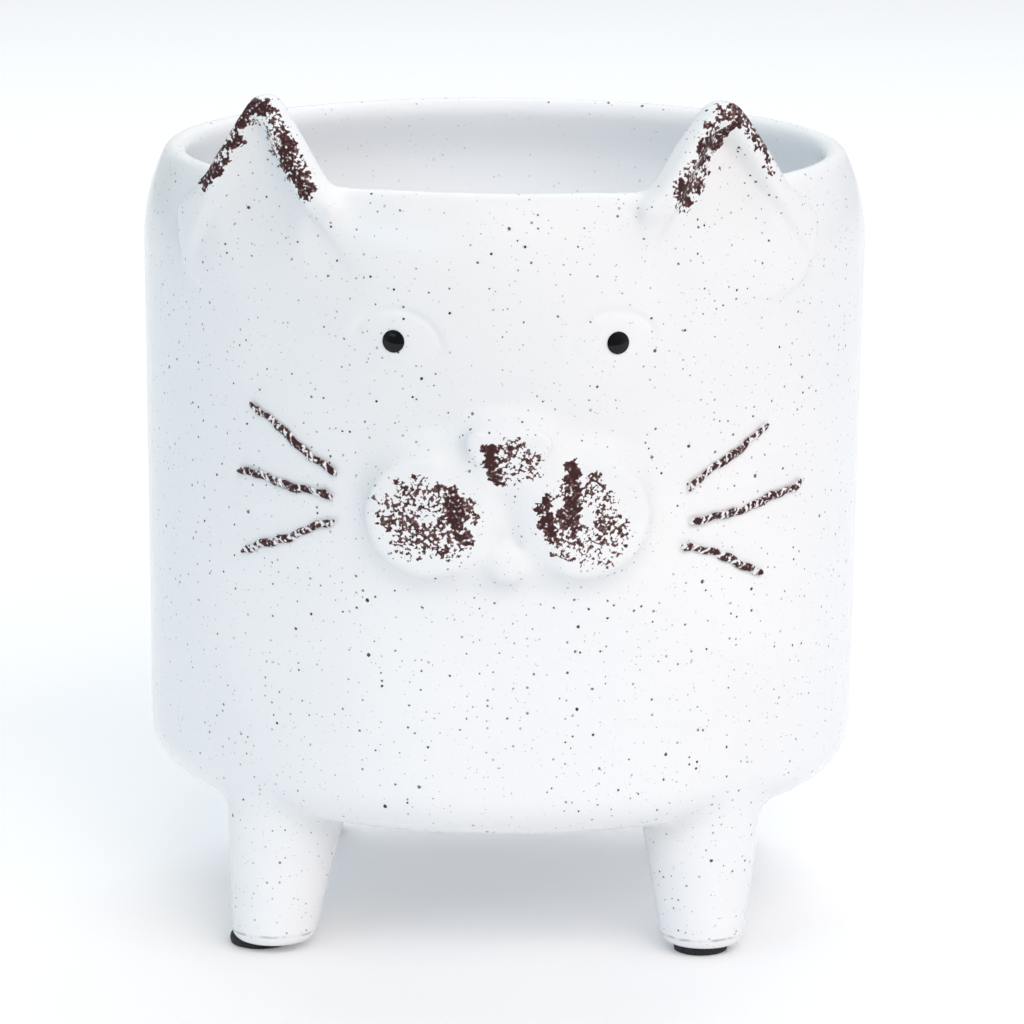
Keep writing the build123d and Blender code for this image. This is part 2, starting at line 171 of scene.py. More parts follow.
def joined_copy(names):
    """One new mesh that holds copies of the CAD nodes' meshes, with doubled vertices merged."""
    bm = bmesh.new()
    for name in names:
        bm.from_mesh(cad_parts[name].data)
    bmesh.ops.remove_doubles(bm, verts=bm.verts, dist=MERGE_DISTANCE * MM)
    mesh = bpy.data.meshes.new("joined")
    bm.to_mesh(mesh)
    bm.free()
    return mesh


def remeshed(mesh, voxel):
    """New mesh of even quads over the volume that a mesh holds."""
    carrier = placed("carrier", mesh)
    remesh = carrier.modifiers.new("remesh", "REMESH")
    remesh.mode = "VOXEL"
    remesh.voxel_size = voxel * MM
    graph = bpy.context.evaluated_depsgraph_get()
    made = bpy.data.meshes.new_from_object(carrier.evaluated_get(graph))
    bpy.data.objects.remove(carrier)
    return made


def edge_array(mesh):
    """Pairs of vertex numbers, one for each edge."""
    return read_all(mesh.edges, "vertices", 2)


def relax(points, edges, weight, rounds):
    """Moves each point towards the mean of its neighbours by its weight, a number of times."""
    used = np.flatnonzero(weight > 0)
    near = np.zeros(len(points), bool)
    near[used] = True
    edges = edges[near[edges].any(1)]
    count = np.maximum(np.bincount(edges.ravel(), minlength=len(points)), 1)
    for _ in range(rounds):
        total = np.empty_like(points)
        for axis in range(points.shape[1]):
            column = points[:, axis]
            total[:, axis] = np.bincount(edges[:, 0], column[edges[:, 1]], len(points))
            total[:, axis] += np.bincount(edges[:, 1], column[edges[:, 0]], len(points))
        mean = total[used] / count[used, None]
        points[used] += weight[used, None] * (mean - points[used])
    return points


def even_out(values, edges, rounds):
    """Relaxes the values at all points alike."""
    return relax(values, edges, np.full(len(values), EVEN_WEIGHT), rounds)


def node_tree(name):
    """Search tree of a CAD node's surface."""
    bm = bmesh.new()
    bm.from_mesh(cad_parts[name].data)
    tree = BVHTree.FromBMesh(bm)
    bm.free()
    return tree


def piece_labels(points):
    """For each point of the skin, the number in GLAZED of the node whose surface is nearest."""
    labels = np.zeros(len(points), int)
    pot_tree = node_tree("pot")
    for number, name in enumerate(GLAZED[1:], 1):
        low, high = (np.array(corner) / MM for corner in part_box(name))
        inside = ((points > low - LABEL_REACH) & (points < high + LABEL_REACH)).all(1)
        tree = node_tree(name)
        for i in np.flatnonzero(inside):
            at = Vector(points[i] * MM)
            if tree.find_nearest(at)[3] < pot_tree.find_nearest(at)[3]:
                labels[i] = number
    return labels


def ear_place(points, side):
    """Distance across the ear's own front, height, and distance out of the front."""
    base = math.radians(side * EAR_AZIMUTH + EAR_TURN)
    facing = math.radians(side * (EAR_AZIMUTH - EAR_FORWARD_TURN) + EAR_TURN)
    x = points[:, 0] - EAR_FRONT_RADIUS * math.sin(base)
    y = points[:, 1] + EAR_FRONT_RADIUS * math.cos(base)
    across = x * math.cos(facing) + y * math.sin(facing)
    depth = x * math.sin(facing) - y * math.cos(facing)
    return across, points[:, 2], depth


def azimuth_of(points):
    """Angle about the pot's axis from the front, towards the viewer's right, in degrees."""
    return np.degrees(np.arctan2(points[:, 0], -points[:, 1]))


def blend_width(name, crease):
    """How wide the glazed clay is smoothed at each point of a node's joint line, in millimetres."""
    if name.startswith("ear"):
        side = name.split("_")[1]
        outwards = SIDES[side] * (azimuth_of(crease) - EAR_TURN) - EAR_AZIMUTH
        outer = ease(outwards, *EAR_BLEND_OUTER) * (1 - ease(crease[:, 2], *EAR_BLEND_LOW))
        return EAR_BLEND - EAR_BLEND_CUT[side] * outer
    if name == "nose":
        return NOSE_BLEND + NOSE_BLEND_MORE * ease(crease[:, 2], *NOSE_BLEND_LOW)
    width = {"cheek": CHEEK_BLEND, "leg": LEG_BLEND}.get(name.split("_")[0], FINE_BLEND)
    return np.full(len(crease), width)


def turned_section():
    """Section of the pot as pairs of points (radius, height), from the CAD pot's rearmost edges."""
    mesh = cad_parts["pot"].data
    points = mesh_points(mesh)
    edges = edge_array(mesh)
    behind = (np.abs(points[:, 0]) < SECTION_SEAM) & (points[:, 1] > 0)
    lines = edges[behind[edges].all(1)]
    return points[lines[:, 0], 1:], points[lines[:, 1], 1:]


def true_the_pot(points, labels, held):
    """Puts the pot's own points back on its turned section, so that it is truly round."""
    chosen = np.flatnonzero((labels == 0) & (held <= 0))
    radius = radius_of(points[chosen])
    place = np.stack([radius, points[chosen, 2]], 1)
    nearest = np.full(len(chosen), np.inf)
    wanted = place.copy()
    for start, end in zip(*turned_section()):
        line = end - start
        if line @ line < 1e-8:
            continue
        along = np.clip((place - start) @ line / (line @ line), 0, 1)
        foot = start + along[:, None] * line
        far = np.hypot(*(place - foot).T)
        closer = far < nearest
        nearest[closer] = far[closer]
        wanted[closer] = foot[closer]
    good = (nearest < SECTION_CATCH) & (radius > AXIS_CLEARANCE)
    share = wanted[good, 0] / radius[good]
    points[chosen[good], 0] *= share
    points[chosen[good], 1] *= share
    points[chosen[good], 2] = wanted[good, 1]
    return points


def point_normals(mesh, points):
    """Normals of a mesh whose vertices are moved to the points."""
    set_points(mesh, points)
    return read_all(mesh.vertices, "normal", 3, np.float32).astype(float)


def outer_radius(heights):
    """Radius of the pot's outside at each height, shoulder and base corner included."""
    starts, ends = turned_section()
    grid = np.arange(FOOT_HEIGHT, LIP_HEIGHT, SECTION_STEP)
    radii = np.zeros(len(grid))
    for (r0, z0), (r1, z1) in zip(starts, ends):
        inside = (grid >= min(z0, z1)) & (grid <= max(z0, z1)) & (abs(z1 - z0) > 1e-6)
        radii[inside] = np.maximum(radii[inside], r0 + (grid[inside] - z0) * (r1 - r0) / (z1 - z0))
    return np.interp(heights, grid, radii)


def sink_roots(points, labels):
    """Lets the inner side of each ear's root run out into the shoulder, as smeared clay does."""
    radius = radius_of(points)
    level = outer_radius(points[:, 2])
    for name, side in SIDES.items():
        across, up, _ = ear_place(points, side)
        ear = (labels == GLAZED.index(f"ear_{name}")) & (radius > level - ROOT_REACH)
        share = ear * ease(across * side, *ROOT_SINK_ACROSS) * ease(up, *ROOT_SINK_HEIGHTS)
        wanted = np.minimum(radius, level + ROOT_LEFT)
        points = push_out(points, share * (wanted - radius))
    return points


def shape_ears(mesh, points, edges, labels):
    """Deepens the ears' hollows, rolls their outer edges back and widens the right ear."""
    normals = point_normals(mesh, points)
    view = np.array([0, math.cos(math.radians(VIEW_DOWN)), -math.sin(math.radians(VIEW_DOWN))])
    for name, side in SIDES.items():
        own = (labels == GLAZED.index(f"ear_{name}")).astype(float)[:, None]
        own = even_out(own, edges, BORDER_ROUNDS)[:, 0]
        across, up, depth = ear_place(points, side)
        outwards = across * side
        base = math.radians(side * (EAR_AZIMUTH - EAR_FORWARD_TURN) + EAR_TURN)
        sideways = np.array([math.cos(base), math.sin(base), 0]) * side
        facing = np.array([math.sin(base), -math.cos(base), 0])
        near = ease(outwards, -EAR_SPAN, -EAR_SPAN_FADED) * ease(outwards, EAR_SPAN, EAR_SPAN_FADED)
        near = near * ease(depth, *EAR_DEPTHS)
        front = near * ease(normals @ facing, *EAR_FACING)
        middle = -side * (SCOOP_MIDDLE + (up - EAR_LEVEL) * SCOOP_LEAN)
        half_width = np.maximum(SCOOP_HALF_WIDTH - SCOOP_TAPER * (up - EAR_LEVEL), 0)
        reach = half_width - SCOOP_RIDGE - np.abs(outwards - middle)
        hollow = ease(reach, 0, SCOOP_SOFT) * ease(up, *SCOOP_HEIGHTS)
        thickness = EAR_THINNEST + EAR_THICKER * ease(up, *EAR_THICKER_HEIGHTS)
        outer = np.clip((outwards - EAR_ROLL_START) / EAR_ROLL_WIDTH, 0, 1)
        roll = EAR_ROLL * own * outer**2 * np.clip(1 + depth / thickness, 0, 1)
        moved = points + np.outer(roll, view) - np.outer(front * EAR_HOLLOW * hollow, facing)
        if name == "right":
            share = ease(outwards, *EAR_WIDER_ACROSS) * ease(up, *EAR_WIDER_HEIGHTS)
            moved = moved - np.outer(EAR_WIDER * near * share, sideways)
        points = moved
    return points


def inside_share(points):
    """1 for points of the pot's inner wall and 0 for its outside, with a soft step between."""
    depth = outer_radius(points[:, 2]) - INNER_WALL_DEPTH - radius_of(points)
    return smooth_step(depth) * (points[:, 2] > FLOOR_MIDDLE_HEIGHT)


def hollow_mouth(points):
    """Throws the wall a little outwards under the lip, where a thrown mouth is undercut."""
    height = points[:, 2]
    out = MOUTH_SWELL * inside_share(points) * ease(height, *MOUTH_TOP) * ease(height, *MOUTH_FOOT)
    return push_out(points, out)


def raise_chin(points):
    """Swells the lower end of the chin into a small round bump."""
    low, high = (np.array(corner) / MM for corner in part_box("chin"))
    half = (high[0] - low[0]) / 2
    across = points[:, 0] - (low[0] + high[0]) / 2
    up = points[:, 2] - (low[2] + half)
    share = ease(np.hypot(across, up) / half, *CHIN_EDGE) * (points[:, 1] < MUZZLE_FRONT)
    return push_out(points, CHIN_SWELL * share)


def soften_joints(mesh, points, edges, labels):
    """Blends each luted piece into its neighbours across their joint line."""
    weight = np.zeros(len(points))
    for number, name in enumerate(GLAZED[1:], 1):
        mixed = labels[edges]
        ends = edges[(mixed == number).any(1) & (mixed[:, 0] != mixed[:, 1])]
        crease = np.unique(ends)
        if not len(crease):
            continue
        widths = blend_width(name, points[crease])
        tree = KDTree(len(crease))
        for k, i in enumerate(crease):
            tree.insert(points[i], k)
        tree.balance()
        low, high = points[crease].min(0), points[crease].max(0)
        reach = widths.max()
        inside = ((points > low - reach) & (points < high + reach)).all(1)
        for i in np.flatnonzero(inside):
            _, k, distance = tree.find(points[i])
            share = 1 - distance / widths[k]
            if share > 0:
                weight[i] = max(weight[i], share)
    points = sink_roots(true_the_pot(points, labels, weight), labels)
    before = points.copy()
    normals = point_normals(mesh, points)
    points = relax(points, edges, EVEN_WEIGHT * smooth_step(weight * BLEND_CORE), BLEND_ROUNDS)
    outwards = ((points - before) * normals).sum(1)
    worn = np.isin(labels, [GLAZED.index(name) for name in ("pot", *EARS)])
    kept = WORN_BACK * worn * (points[:, 2] > WORN_HEIGHT)
    for side in SIDES.values():
        across, up, _ = ear_place(before, side)
        inner_root = ease(across * side, *ROOT_BLEND_ACROSS) * ease(up, *ROOT_BLEND_HEIGHTS)
        kept = kept * (1 - inner_root * (np.abs(across) < ROOT_HALF_WIDTH))
    return points - normals * (kept * np.minimum(outwards, 0))[:, None]


def eye_offset(points, side):
    """Height of the eye's relief over the wall at each point, and how much of it applies there."""
    azimuth = azimuth_of(points)
    eye_radius = wall_radius(EYE_HEIGHT)
    middle = side * math.degrees(EYE_HALF_SPACING / eye_radius) + EYE_TURN
    across = np.radians(azimuth - middle) * eye_radius
    up = points[:, 2] - EYE_HEIGHT
    tilt = math.radians(side * EYE_TILT)
    x = across * math.cos(tilt) + up * math.sin(tilt)
    y = up * math.cos(tilt) - across * math.sin(tilt)
    upper_radius = (EYE_HALF_WIDTH**2 + EYE_RISE**2) / (2 * EYE_RISE)
    lower_radius = (EYE_HALF_WIDTH**2 + EYE_DROP**2) / (2 * EYE_DROP)
    from_upper = np.hypot(x, y - (EYE_RISE - upper_radius)) - upper_radius
    from_lower = np.hypot(x, y - (lower_radius - EYE_DROP)) - lower_radius
    outside = np.maximum(from_upper, from_lower)
    ball = BALL_HEIGHT - BALL_FALL_ACROSS * (x - BALL_MIDDLE * side) ** 2 - BALL_FALL_UP * y**2
    above = smooth_step(0.5 + (from_upper - from_lower) / LID_CHANGE)
    crease = (CREASE_DEPTH + CREASE_DEEPER_ABOVE * above) * np.exp(-((outside / CREASE_WIDTH) ** 2))
    lid = (LID_HEIGHT + LID_HIGHER_ABOVE * above) * np.exp(-(((outside - LID_PLACE) / LID_WIDTH) ** 2))
    height = ball * smooth_step(0.5 - outside / BALL_SOFT) - crease + lid
    return height, outside


def on_outer_wall(points):
    """Whether each point lies on the outside of the wall, on the face's half of the pot."""
    return (radius_of(points) > OUTER_WALL_RADIUS) & (points[:, 1] < 0)


def carve_eyes(bm, piece_layer):
    """Refines the skin over both eyes and gives it the almond crease, lids and shallow ball."""
    for side in SIDES.values():
        for _ in range(2):
            bm.verts.ensure_lookup_table()
            points = np.array([v.co for v in bm.verts]) / MM
            near = (eye_offset(points, side)[1] < EYE_FINE_REACH) & on_outer_wall(points)
            edges = [e for e in bm.edges if near[e.verts[0].index] and near[e.verts[1].index]]
            bmesh.ops.subdivide_edges(bm, edges=edges, cuts=1, use_grid_fill=True)
            bm.verts.index_update()
        bm.verts.ensure_lookup_table()
        points = np.array([v.co for v in bm.verts]) / MM
        height, outside = eye_offset(points, side)
        for i in np.flatnonzero((outside < EYE_REACH) & on_outer_wall(points)):
            share = float(smooth_step((EYE_REACH - outside[i]) / EYE_FADE))
            x, y, z = points[i]
            radius = math.hypot(x, y)
            wanted = wall_radius(z) + height[i]
            radius_new = radius + share * (wanted - radius)
            bm.verts[i].co = Vector((x * radius_new / radius, y * radius_new / radius, z)) * MM
    names = {GLAZED.index(f"eyeball_{side}"): sign for side, sign in SIDES.items()}
    for face in bm.faces:
        centre = np.array(face.calc_center_median())[None] / MM
        if not on_outer_wall(centre)[0] or abs(centre[0, 2] - EYE_HEIGHT) > EYE_ZONE:
            continue
        if face[piece_layer] in names:
            face[piece_layer] = 0
        for number, sign in names.items():
            if eye_offset(centre, sign)[1][0] < 0:
                face[piece_layer] = number


# ---- oxide

VIEWPOINT = Vector((1.602, -924.6, 263.6))
VIEW_DOWN, VIEW_ROLL = 12.087, 0.493
LENS, FILM = 197.43, 36.0
PICTURE = 1024


def view_turn():
    """How the camera is turned: down to the pot, and a little about its own axis."""
    down = Matrix.Rotation(math.radians(90 - VIEW_DOWN), 4, "X")
    return down @ Matrix.Rotation(math.radians(VIEW_ROLL), 4, "Z")


def seen_from_front(points):
    """Places across and down in a picture taken from the front, where the sponge came from."""
    turned = (points - np.array(VIEWPOINT)) @ np.array(view_turn().to_3x3())
    scale, middle = PICTURE * LENS / FILM, PICTURE / 2
    return middle - scale * turned[:, 0] / turned[:, 2], middle + scale * turned[:, 1] / turned[:, 2]


# Where brown oxide was dabbed on, in that picture: from, to, half width at each end and strength.
# Strength 1 covers fully, 0.5 leaves a broken net, and a stroke below 0 wipes colour off again.
STROKES = {
    "ear_left": [
        (238, 125, 252, 107, 5, 8, 1.15), (252, 107, 265, 107, 8, 8, 1.05),
        (264, 106, 276, 110, 5, 3, 0.8), (228, 133, 234, 130, 3, 3, 0.75),
        (221, 150, 239, 140, 4, 6, 0.95), (212, 161, 226, 152, 7, 7, 0.5),
        (202, 189, 209, 176, 2, 8, 1.15), (209, 176, 225, 162, 8, 4, 1.1),
        (242, 130, 262, 120, 4, 3, 0.5), (270, 114, 281, 128, 8, 8, 0.55),
        (268, 126, 275, 152, 4, 4, 0.52), (279, 131, 286, 142, 7, 8, 0.7),
        (286, 147, 287, 166, 10, 7, 1.08), (292, 149, 297, 152, 7, 5, 0.72),
        (286, 166, 293, 180, 4, 4, 0.8), (294, 160, 304, 170, 6, 6, 0.55),
        (297, 176, 306, 192, 7, 7, 1.08), (306, 178, 313, 188, 6, 4, 0.74),
        (305, 190, 308, 202, 6, 2, 1.0),
    ],
    "ear_right": [
        (684, 186, 684, 200, 7, 7, 1.1), (683, 182, 684, 203, 11, 11, 0.5),
        (688, 174, 697, 188, 7, 7, 0.62), (702, 179, 696, 190, 4, 5, 0.85),
        (690, 165, 703, 167, 6, 6, 0.6), (706, 158, 706, 176, 4, 4, 0.6),
        (703, 146, 703, 160, 6, 5, 1.1), (702, 143, 715, 145, 5, 7, 1.0),
        (716, 141, 731, 127, 4, 3, 1.0), (701, 140, 716, 134, 5, 7, 0.66),
        (706, 126, 720, 122, 4, 4, 0.68), (719, 111, 729, 120, 7, 7, 0.56),
        (733, 108, 737, 116, 6, 6, 0.75), (741, 110, 750, 120, 6, 6, 0.95),
        (735, 125, 741, 124, 4, 4, 1.0), (748, 116, 757, 130, 5, 5, 0.85),
        (748, 127, 762, 145, 6, 7, 0.58), (762, 138, 766, 151, 5, 3, 0.95),
        (766, 150, 765, 158, 3, 2, 0.8), (768, 160, 770, 175, 4, 3, 0.8),
    ],
    "cheek_left": [
        (420, 522, 444, 524, 39, 36, 0.5), (414, 529, 436, 524, 17, 19, 0.6),
        (434, 488, 451, 494, 5, 6, 0.85), (451, 497, 458, 514, 10, 12, 0.95),
        (458, 514, 459, 532, 11, 9, 0.95), (459, 534, 470, 542, 8, 7, 0.9),
        (469, 502, 474, 520, 5, 5, 0.72), (399, 483, 402, 487, 5, 6, 0.75),
        (414, 478, 424, 481, 5, 5, 0.56), (376, 502, 388, 500, 7, 8, 0.46),
        (381, 516, 385, 522, 7, 7, 0.47), (442, 552, 449, 555, 5, 5, 0.75),
        (424, 515, 426, 519, 6, 6, -0.35), (468, 527, 476, 530, 6, 5, -0.3),
    ],
    "cheek_right": [
        (582, 516, 594, 530, 40, 38, 0.47), (572, 468, 574, 503, 8, 11, 1.0),
        (574, 503, 572, 520, 11, 8, 1.0), (544, 500, 548, 530, 10, 8, 0.95),
        (555, 516, 569, 517, 7, 7, 0.8), (594, 477, 602, 485, 6, 5, 0.78),
        (553, 541, 557, 543, 6, 5, 0.75), (566, 528, 572, 533, 7, 7, 0.72),
        (606, 524, 620, 528, 12, 10, 0.58), (584, 535, 604, 540, 12, 12, 0.56),
        (553, 556, 611, 564, 5, 5, 0.47), (552, 505, 555, 507, 6, 6, -0.6),
        (588, 513, 590, 520, 6, 6, -0.35), (624, 506, 627, 511, 6, 6, -0.3),
    ],
    "nose": [
        (512, 462, 522, 464, 27, 22, 0.47), (489, 451, 493, 470, 8, 8, 1.05),
        (493, 470, 501, 487, 8, 4, 0.95), (482, 448, 516, 448, 4, 4, 0.68),
    ],
}


# The strokes' edges in the picture's pixels: size of wave and ripple, then pace and start of the wave
# and pace and lean of the ripple, for places across and down, and width of the soft edge
WAVE, RIPPLE = 1.6, 1.1
RAG_ACROSS, RAG_DOWN = (0.42, 1, 0.93, 0.35), (0.47, 2, 1.01, 0.3)
EDGE_WIDEST, EDGE_SHARE = 7, 1.3
# Where the sponge came from and how steeply it still reached a face
SPONGED_FROM, SPONGE_GRAZE = Vector((0, -1, 0.2)), (-0.1, 0.1)


def ragged(place, other, pace, start, ripple_pace, lean):
    """Places in the picture moved to and fro, so that straight edges turn ragged."""
    ripple = np.sin(ripple_pace * other + lean * place)
    return place + WAVE * np.sin(pace * other + start) + RIPPLE * ripple


def oxide_density(name, points, normals):
    """How thickly the brown oxide was dabbed on at each point, from 0 to about 1."""
    density = np.zeros(len(points))
    across, down = seen_from_front(points)
    across = ragged(across, down, *RAG_ACROSS)
    down = ragged(down, across, *RAG_DOWN)
    for x0, y0, x1, y1, half_0, half_1, strength in STROKES.get(name, ()):
        length = math.hypot(x1 - x0, y1 - y0)
        along = np.clip(((across - x0) * (x1 - x0) + (down - y0) * (y1 - y0)) / length**2, 0, 1)
        far = np.hypot(across - x0 - along * (x1 - x0), down - y0 - along * (y1 - y0))
        half = half_0 + along * (half_1 - half_0)
        dabbed = strength * smooth_step((half - far) / np.minimum(EDGE_WIDEST, half * EDGE_SHARE) + 0.5)
        density = np.maximum(density, dabbed) if strength > 0 else density + dabbed
    towards = normals @ np.array(SPONGED_FROM.normalized())
    return np.clip(density, 0, 1) * ease(towards, *SPONGE_GRAZE)


# ---- materials


# Specks: shift from kind to kind, how ragged and how small most are, and their soft edge
SPECK_SHIFT = (0.37, 0.11, 0.23)
SPECK_RAG_SCALE, SPECK_RAG = 2600.0, 0.9
SPECK_SMALLNESS = 2.2
SPECK_EDGE = (-0.05, 0.02)


class Nodes:
    """Short way to build a material's node tree."""

    def __init__(self, name):
        self.material = bpy.data.materials.new(name)
        self.material.use_nodes = True
        self.tree = self.material.node_tree
        self.tree.nodes.clear()
        self.output = self.add("ShaderNodeOutputMaterial")
        self.shader = self.add("ShaderNodeBsdfPrincipled")
        self.link(self.shader.outputs[0], self.output.inputs["Surface"])
        self.place = self.add("ShaderNodeTexCoord").outputs["Object"]

    def add(self, kind, **settings):
        node = self.tree.nodes.new(kind)
        for key, value in settings.items():
            setattr(node, key, value)
        return node

    def link(self, source, target):
        self.tree.links.new(source, target)

    def feed(self, sockets, *values):
        """Links each value that is a socket, and sets each that is not."""
        for value, socket in zip(values, sockets):
            if isinstance(value, bpy.types.NodeSocket):
                self.link(value, socket)
            else:
                socket.default_value = value

    def math(self, operation, *values):
        node = self.add("ShaderNodeMath", operation=operation)
        self.feed(node.inputs, *values)
        return node.outputs[0]

    def ramp(self, value, low, high, to_low=0.0, to_high=1.0):
        node = self.add("ShaderNodeMapRange", interpolation_type="SMOOTHSTEP")
        self.feed(node.inputs, value, low, high, to_low, to_high)
        return node.outputs[0]

    def texture(self, kind, place, **values):
        node = self.add(kind)
        self.link(place, node.inputs["Vector"])
        for key, value in values.items():
            node.inputs[key].default_value = value
        return node

    def noise(self, scale, detail=2.0, roughness=0.5, distortion=0.0):
        shape = {"Scale": scale, "Detail": detail, "Roughness": roughness, "Distortion": distortion}
        return self.texture("ShaderNodeTexNoise", self.place, **shape).outputs["Fac"]

    def mix(self, share, a, b):
        node = self.add("ShaderNodeMix", data_type="RGBA")
        self.feed([node.inputs["Factor"]], share)
        self.feed([s for s in node.inputs if s.type == "RGBA"], a, b)
        return next(s for s in node.outputs if s.type == "RGBA")

    def bump(self, height, strength, distance):
        node = self.add("ShaderNodeBump")
        node.inputs["Strength"].default_value = strength
        node.inputs["Distance"].default_value = distance * MM
        self.link(height, node.inputs["Height"])
        self.link(node.outputs[0], self.shader.inputs["Normal"])

    def set(self, **values):
        for key, value in values.items():
            self.feed([self.shader.inputs[key.replace("_", " ")]], value)

    def specks(self, cell, smallest, largest, share, seed):
        """Round specks of mixed size, one in each cell of the share of cells that hold any."""
        shift = [seed * step for step in SPECK_SHIFT]
        moved = self.texture("ShaderNodeMapping", self.place, Location=shift)
        wobble = self.texture("ShaderNodeTexNoise", moved.outputs[0], Scale=SPECK_RAG_SCALE)
        pushed = self.add("ShaderNodeVectorMath", operation="MULTIPLY_ADD")
        rag = (largest * SPECK_RAG * MM,) * 3
        self.feed(pushed.inputs, wobble.outputs["Color"], rag, moved.outputs[0])
        cells = self.texture("ShaderNodeTexVoronoi", pushed.outputs[0], Scale=1 / (cell * MM))
        split = self.add("ShaderNodeSeparateColor")
        self.link(cells.outputs["Color"], split.inputs[0])
        size = self.math("POWER", split.outputs[0], SPECK_SMALLNESS)
        size = self.math("MULTIPLY_ADD", size, (largest - smallest) / cell, smallest / cell)
        held = self.math("LESS_THAN", split.outputs[1], share)
        size = self.math("MULTIPLY", size, held)
        edge = self.math("SUBTRACT", cells.outputs["Distance"], size)
        spot = self.ramp(edge, SPECK_EDGE[0] / cell, SPECK_EDGE[1] / cell, 1.0, 0.0)
        return self.math("MULTIPLY", spot, held), split.outputs[2]


# Each noise has scale, detail, roughness and distortion. Most of its values lie in this band
NOISE_BAND = (0.3, 0.7)
GLAZE_WHITE = (0.9, 0.915, 0.935, 1)
GLAZE_COOL = (0.87, 0.89, 0.915, 1)
SPECK_DARK = (0.02, 0.02, 0.024, 1)
SPECK_GREY = (0.16, 0.165, 0.19, 1)
# Kinds of speck: cell, smallest, largest, share of cells, seed, and how well grey and dark ones show
SPECK_KINDS = (
    (0.68, 0.045, 0.12, 0.9, 1, 0.12, 0.75),
    (1.05, 0.09, 0.25, 0.62, 2, 0.5, 1.0),
    (2.8, 0.2, 0.36, 0.45, 3, 0.95, 1.0),
)
SPECKS_INSIDE = 0.25
GLAZE_IOR, GLAZE_ROUGHNESS = 1.36, (0.12, 0.18)
COAT, COAT_ROUGHNESS = 0.1, 0.06
GLAZE_CLOUD, GLAZE_CLOUD_BAND, GLOSS_CLOUD = (22.0, 2.0), (0.35, 0.65), (90.0, 2.0)
GLAZE_RIPPLE, GLAZE_RELIEF = (150.0, 1.0), (0.25, 0.12)
# Line over the wiped sole: its height, how far it wanders, where it ends and is full, and colour
FOOT_LINE, FOOT_LINE_WANDER, FOOT_LINE_EDGE = 3.3, 0.9, (0.32, 0.08)
FOOT_LINE_GREY = (0.36, 0.38, 0.42, 1)
FOOT_LINE_DRIFT, FOOT_LINE_GAPS, FOOT_LINE_SHOWN = (160.0, 3.0), 420.0, (0.42, 0.6, 0.1, 0.6)
OXIDE_DARK, OXIDE_THIN = (0.052, 0.02, 0.022, 1), (0.24, 0.14, 0.135, 1)
OXIDE_CLOUD, OXIDE_NET, OXIDE_WASH = (520.0, 2.0), (1850.0, 1.0, 0.5, 0.3), (900.0, 4.0, 0.65)
OXIDE_CLOUDING, OXIDE_CELL_SCALE, OXIDE_LEVEL = (0.82, 1.14), 1500.0, 0.78
OXIDE_DROPLETS = (1.0, 0.1, 0.3, 0.6, 9)
OXIDE_DEPTH, OXIDE_ROUGHNESS, OXIDE_IOR = (0.2, 0.62), (0.55, 0.75), 1.25
PUPIL_BLACK, PUPIL_GREY = (0.003, 0.0035, 0.005, 1), (0.008, 0.009, 0.012, 1)
PUPIL_CLOUD, PUPIL_ROUGHNESS, PUPIL_IOR = (900.0, 2.0), (0.05, 0.1), 1.33
PUPIL_RIPPLE, PUPIL_RELIEF = 300.0, (0.1, 0.05)
FOAM_BLACK, FOAM_DUST = (0.018, 0.018, 0.021, 1), (0.05, 0.05, 0.055, 1)
FOAM_GRAIN, FOAM_ROUGHNESS, FOAM_RELIEF = (3200.0, 3.0, 0.6), (0.62, 0.9), (0.6, 0.08)
DUST_CLOUD, DUST_BAND = (500.0, 4.0, 0.7), (0.52, 0.75)
TABLE_DULL, TABLE_WHITE = (0.905, 0.91, 0.92, 1), (0.915, 0.92, 0.93, 1)
TABLE_CLOUD, TABLE_ROUGHNESS = (9.0, 3.0), 0.6
TABLE_GRAIN, TABLE_RELIEF = (700.0, 2.0), (0.05, 0.1)
# Painted glow of the table near the pot and far behind, and where it rises between them
FLOOR_GLOW, FAR_GLOW, GLOW_SPAN = 0.097, 0.16, (0.0, 1.3)
GLOW_COLOUR = (1.0, 0.95, 0.94, 1)


def speckled_colour(n):
    """Blue-white glaze with iron specks of three kinds, the smaller ones rare inside the mouth."""
    inside = n.add("ShaderNodeAttribute", attribute_name="inside").outputs["Fac"]
    shown = n.ramp(inside, 0.0, 1.0, 1.0, SPECKS_INSIDE)
    colour = n.mix(n.ramp(n.noise(*GLAZE_CLOUD), *GLAZE_CLOUD_BAND), GLAZE_WHITE, GLAZE_COOL)
    for cell, small, large, share, seed, faint, strong in SPECK_KINDS:
        spot, tone = n.specks(cell, small, large, share, seed)
        tint = n.mix(tone, SPECK_GREY, SPECK_DARK)
        cover = n.math("MULTIPLY", spot, n.ramp(tone, 0.0, 1.0, faint, strong))
        colour = n.mix(n.math("MULTIPLY", cover, shown), colour, tint)
    return colour


def gloss(n, relief):
    """Gloss and faint relief of the glaze."""
    n.set(Roughness=n.ramp(n.noise(*GLOSS_CLOUD), *NOISE_BAND, *GLAZE_ROUGHNESS), IOR=GLAZE_IOR)
    n.set(Coat_Weight=COAT, Coat_Roughness=COAT_ROUGHNESS)
    n.bump(relief, *GLAZE_RELIEF)


